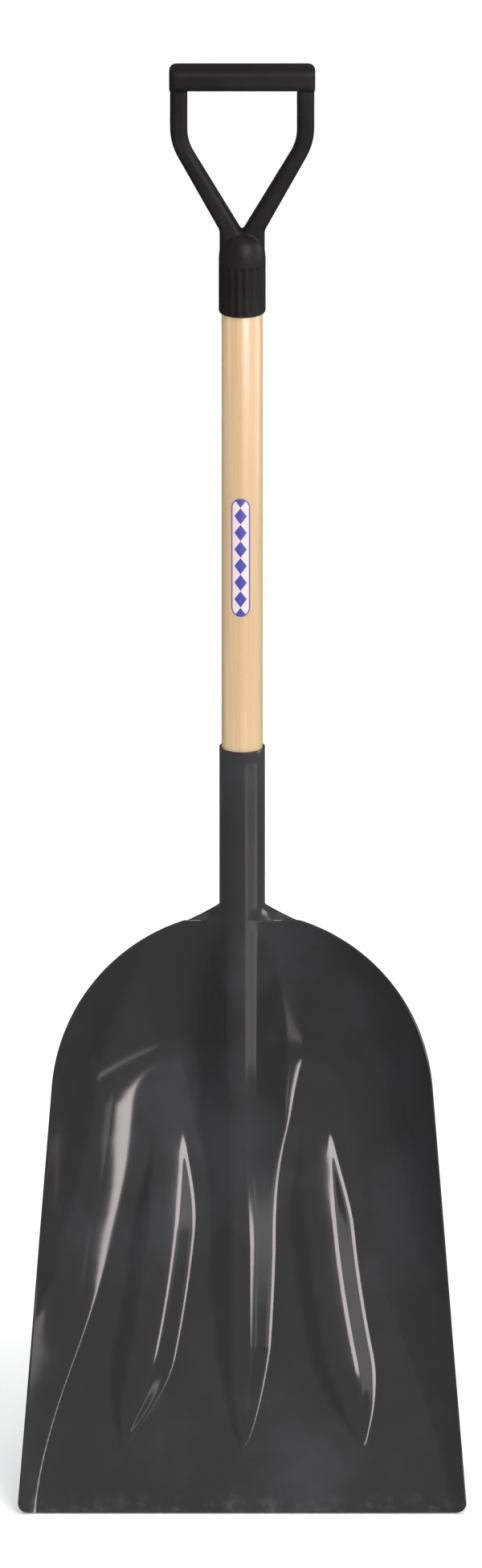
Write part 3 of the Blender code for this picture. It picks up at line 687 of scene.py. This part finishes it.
def wood_material():
    """Lacquered ash: rings, fibre, streaks and pores along the shaft, with the printed mark."""
    n = Nodes("ash_wood")
    place = n.place()
    parts = n.split(place)
    bend = n.noise(n.scaled(place, (6.0, 6.0, 1.6)), 1.0, 2.0, 0.5)
    across = n.math("ADD", parts["X"], n.math("MULTIPLY", bend, 0.020))
    across = n.math("ADD", across, n.math("MULTIPLY", parts["Y"], 0.35))
    rings = n.math("SINE", n.math("MULTIPLY", across, 2100.0))
    rings = n.span(rings, 0.15, 1.0)
    fibre = n.noise(n.scaled(place, (900.0, 900.0, 12.0)), 1.0, 4.0, 0.6)
    streak = n.noise(n.scaled(place, (160.0, 160.0, 3.0)), 1.0, 3.0, 0.55)
    tone = n.noise(n.scaled(place, (30.0, 30.0, 2.5)), 1.0, 2.0, 0.5)
    pores = n.noise(n.scaled(place, (2600.0, 2600.0, 90.0)), 1.0, 2.0, 0.5)
    colour = n.mix(n.span(tone, 0.3, 0.7), (0.310, 0.220, 0.118, 1.0), (0.400, 0.300, 0.172, 1.0))
    colour = n.mix(n.math("MULTIPLY", rings, 0.30), colour, (0.320, 0.195, 0.095, 1.0))
    colour = n.mix(n.span(streak, 0.42, 0.72, 0.0, 0.55), colour, (0.320, 0.195, 0.100, 1.0))
    colour = n.mix(n.span(fibre, 0.50, 0.75, 0.0, 0.25), colour, (0.265, 0.155, 0.080, 1.0))
    colour = n.mix(n.span(pores, 0.66, 0.75, 0.0, 0.40), colour, (0.190, 0.110, 0.055, 1.0))
    # Printed mark: u runs round the shaft from its front, v along it
    side = n.math("ARCTAN2", parts["X"], n.math("MULTIPLY", parts["Y"], -1.0))
    u = n.math("ADD", n.math("MULTIPLY", side, SHAFT_RADIUS), MARK_ASIDE)
    v = n.math("ADD", parts["Z"], -MARK_Z)
    reach = n.math("MAXIMUM", n.math("SUBTRACT", n.math("ABSOLUTE", v), MARK_HALF_LENGTH), 0.0)
    away = n.math("SQRT", n.math("ADD", n.math("POWER", reach, 2.0), n.math("POWER", u, 2.0)))
    plate = n.span(away, MARK_FRAME_RADIUS, MARK_FRAME_RADIUS - MARK_EDGE)
    field = n.span(away, MARK_FIELD_RADIUS, MARK_FIELD_RADIUS - MARK_EDGE)
    cell = n.math("PINGPONG", n.math("ADD", v, MARK_HALF_LENGTH), MARK_CELL)
    cell = n.math("SUBTRACT", MARK_CELL, cell)
    lozenge = n.math("ADD", n.math("ABSOLUTE", u), n.math("MULTIPLY", cell, MARK_SLANT))
    lozenge = n.span(lozenge, MARK_LOZENGE, MARK_LOZENGE - MARK_EDGE)
    lozenge = n.math("MULTIPLY", lozenge, field)
    ink = n.math("SUBTRACT", n.math("ADD", plate, lozenge), field, clamp=True)
    wear = n.span(n.noise(place, 420.0, 3.0, 0.6), 0.66, 0.72, 1.0, 0.35)
    pale = n.math("MULTIPLY", field, n.math("MULTIPLY", wear, 0.55))
    colour = n.mix(pale, colour, (0.46, 0.44, 0.50, 1.0))
    colour = n.mix(n.math("MULTIPLY", ink, wear), colour, (0.028, 0.030, 0.200, 1.0))
    n.link(colour, n.shader.inputs["Base Color"])
    n.link(n.span(fibre, 0.3, 0.8, 0.34, 0.50), n.shader.inputs["Roughness"])
    n.shader.inputs["Coat Weight"].default_value = 0.55
    n.shader.inputs["Coat Roughness"].default_value = 0.25
    height = n.math("ADD", n.math("MULTIPLY", fibre, 0.6), n.math("MULTIPLY", pores, 0.4))
    n.link(n.bump(height, 0.00006), n.shader.inputs["Normal"])
    return n.material


def polymer_material():
    """Matt black moulded polymer with a fine grain and a few scratches."""
    n = Nodes("grip_polymer")
    place = n.place()
    grain = n.noise(place, 1400.0, 3.0, 0.6)
    mottle = n.noise(place, 28.0, 4.0, 0.6)
    scratch = n.noise(n.scaled(place, (60.0, 420.0, 600.0)), 1.0, 4.0, 0.65)
    dark, light = (0.0060, 0.0050, 0.0053, 1.0), (0.0086, 0.0074, 0.0078, 1.0)
    colour = n.mix(n.span(mottle, 0.35, 0.75), dark, light)
    colour = n.mix(n.span(scratch, 0.66, 0.74, 0.0, 0.18), colour, (0.030, 0.027, 0.028, 1.0))
    n.link(colour, n.shader.inputs["Base Color"])
    n.link(n.span(mottle, 0.3, 0.8, 0.42, 0.56), n.shader.inputs["Roughness"])
    n.shader.inputs["Specular IOR Level"].default_value = 0.16
    n.link(n.bump(grain, 0.00005), n.shader.inputs["Normal"])
    return n.material


def steel_material():
    """Brushed steel with darker stains."""
    n = Nodes("rivet_steel")
    place = n.place()
    mottle = n.noise(place, 260.0, 5.0, 0.65)
    brushed = n.noise(n.scaled(place, (2400.0, 300.0, 300.0)), 1.0, 3.0, 0.6)
    colour = n.mix(n.span(mottle, 0.40, 0.70), (0.30, 0.30, 0.31, 1.0), (0.16, 0.14, 0.13, 1.0))
    n.link(colour, n.shader.inputs["Base Color"])
    n.shader.inputs["Metallic"].default_value = 1.0
    n.link(n.span(brushed, 0.2, 0.8, 0.28, 0.46), n.shader.inputs["Roughness"])
    n.link(n.bump(n.math("ADD", mottle, brushed), 0.00004), n.shader.inputs["Normal"])
    return n.material


def floor_material():
    n = Nodes("studio_floor")
    n.shader.inputs["Base Color"].default_value = (0.96, 0.96, 0.96, 1.0)
    n.shader.inputs["Roughness"].default_value = 0.9
    n.shader.inputs["Specular IOR Level"].default_value = 0.0
    return n.material


def dress(obj, material, slot, *nodes):
    obj.data.materials.clear()
    obj.data.materials.append(material)
    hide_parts(*nodes)
    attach(obj, "root")


def build_object():
    steel = steel_material()
    dress(build_blade(), enamel_material(), "blade_enamel", "scoop_blade")
    dress(build_shaft(), wood_material(), "ash_wood", "handle_shaft")
    dress(build_grip(), polymer_material(), "grip_polymer", "d_grip")
    rivets = [("grip_rivet", GRIP_RIVET_Z, FERRULE_RADIUS)]
    for name, z in zip(("socket_rivet_upper", "socket_rivet_lower"), SOCKET_RIVETS_Z):
        rivets.append((name, z, SOCKET_RADIUS))
    for node, z, seat in rivets:
        dress(build_rivet(node + "_head", z, seat), steel, "rivet_steel", node)


# Studio


def direction(azimuth, elevation):
    """A unit vector: azimuth 0 points at the viewer's side (-Y) and 90 to the right (+X)."""
    a, e = math.radians(azimuth), math.radians(elevation)
    return Vector((math.sin(a) * math.cos(e), -math.cos(a) * math.cos(e), math.sin(e)))


def panel(name, place, size, radiance, colour=(1.0, 1.0, 1.0), mirrored_in=True):
    """A soft rectangular light that faces the scoop. Its place is azimuth, elevation and distance."""
    azimuth, elevation, distance = place
    width, height = size
    light = bpy.data.lights.new(name, "AREA")
    light.shape = "RECTANGLE"
    light.size = width
    light.size_y = height
    light.energy = radiance * math.pi * width * height
    light.color = colour
    obj = bpy.data.objects.new(name, light)
    obj.location = AIM + direction(azimuth, elevation) * distance
    obj.rotation_euler = (AIM - obj.location).to_track_quat("-Z", "Y").to_euler()
    obj.visible_camera = False
    obj.visible_glossy = mirrored_in
    bpy.context.scene.collection.objects.link(obj)


def build_studio():
    """A pale floor, a low even sky, soft panels and a broad sun from the front."""
    floor = new_object("floor", bpy.data.meshes.new("floor"))
    form = bmesh.new()
    bmesh.ops.create_grid(form, x_segments=1, y_segments=1, size=FLOOR_SIZE)
    form.to_mesh(floor.data)
    form.free()
    floor.location.z = cad_low.z - FLOOR_GAP
    floor.data.materials.append(floor_material())
    floor.visible_glossy = False
    floor.visible_shadow = False

    world = bpy.data.worlds.new("studio")
    bpy.context.scene.world = world
    world.use_nodes = True
    tree = world.node_tree
    parts = tree.nodes.new("ShaderNodeSeparateXYZ")
    tree.links.new(tree.nodes.new("ShaderNodeTexCoord").outputs["Generated"], parts.inputs[0])
    shade = tree.nodes.new("ShaderNodeMapRange")
    shade.interpolation_type = "SMOOTHSTEP"
    limits = {"From Min": -0.9, "From Max": 0.1, "To Min": 0.13, "To Max": 0.17}
    for name, number in limits.items():
        shade.inputs[name].default_value = number
    tree.links.new(parts.outputs["X"], shade.inputs["Value"])
    tree.links.new(shade.outputs["Result"], tree.nodes["Background"].inputs["Strength"])
    tree.nodes["Background"].inputs["Color"].default_value = (1.0, 1.0, 1.0, 1.0)

    panel("key_panel", (24.0, 22.5, 9.0), (5.2, 3.4), 13.0, (1.0, 0.93, 0.93))
    cool = (0.90, 0.95, 1.0)
    panel("left_fill", (-70.0, 12.0, 9.0), (5.0, 4.0), 6.0, cool, mirrored_in=False)
    panel("right_fill", (75.0, 8.0, 9.0), (5.0, 4.0), 5.0, mirrored_in=False)
    panel("fill_panel", (62.0, 16.0, 9.0), (5.6, 3.6), 1.6)
    panel("side_panel", (98.0, 10.0, 8.0), (4.0, 3.0), 4.5)
    panel("top_panel", (0.0, 86.0, 6.0), (6.0, 6.0), 0.5)
    sun = bpy.data.lights.new("front_sun", "SUN")
    sun.energy = 2.6
    sun.angle = math.radians(60.0)
    front = bpy.data.objects.new("front_sun", sun)
    front.rotation_euler = direction(0.0, 50.0).to_track_quat("Z", "Y").to_euler()
    front.visible_glossy = False
    bpy.context.scene.collection.objects.link(front)
    panel("low_panel", (48.0, -17.0, 6.0), (7.5, 0.4), 2.5, (1.0, 0.96, 0.96))


def build_camera():
    """A flat view without perspective, from a little above, at right angles to the scoop's floor."""
    data = bpy.data.cameras.new("camera")
    camera = bpy.data.objects.new("camera", data)
    bpy.context.scene.collection.objects.link(camera)
    camera.location = CAMERA_AIM + direction(0.0, CAMERA_ELEVATION) * CAMERA_DISTANCE
    camera.rotation_euler = (CAMERA_AIM - camera.location).to_track_quat("-Z", "Y").to_euler()
    data.type = "ORTHO"
    data.ortho_scale = PICTURE_HEIGHT
    bpy.context.scene.camera = camera


bpy.context.scene.view_settings.view_transform = "Standard"
build_object()
build_studio()
build_camera()
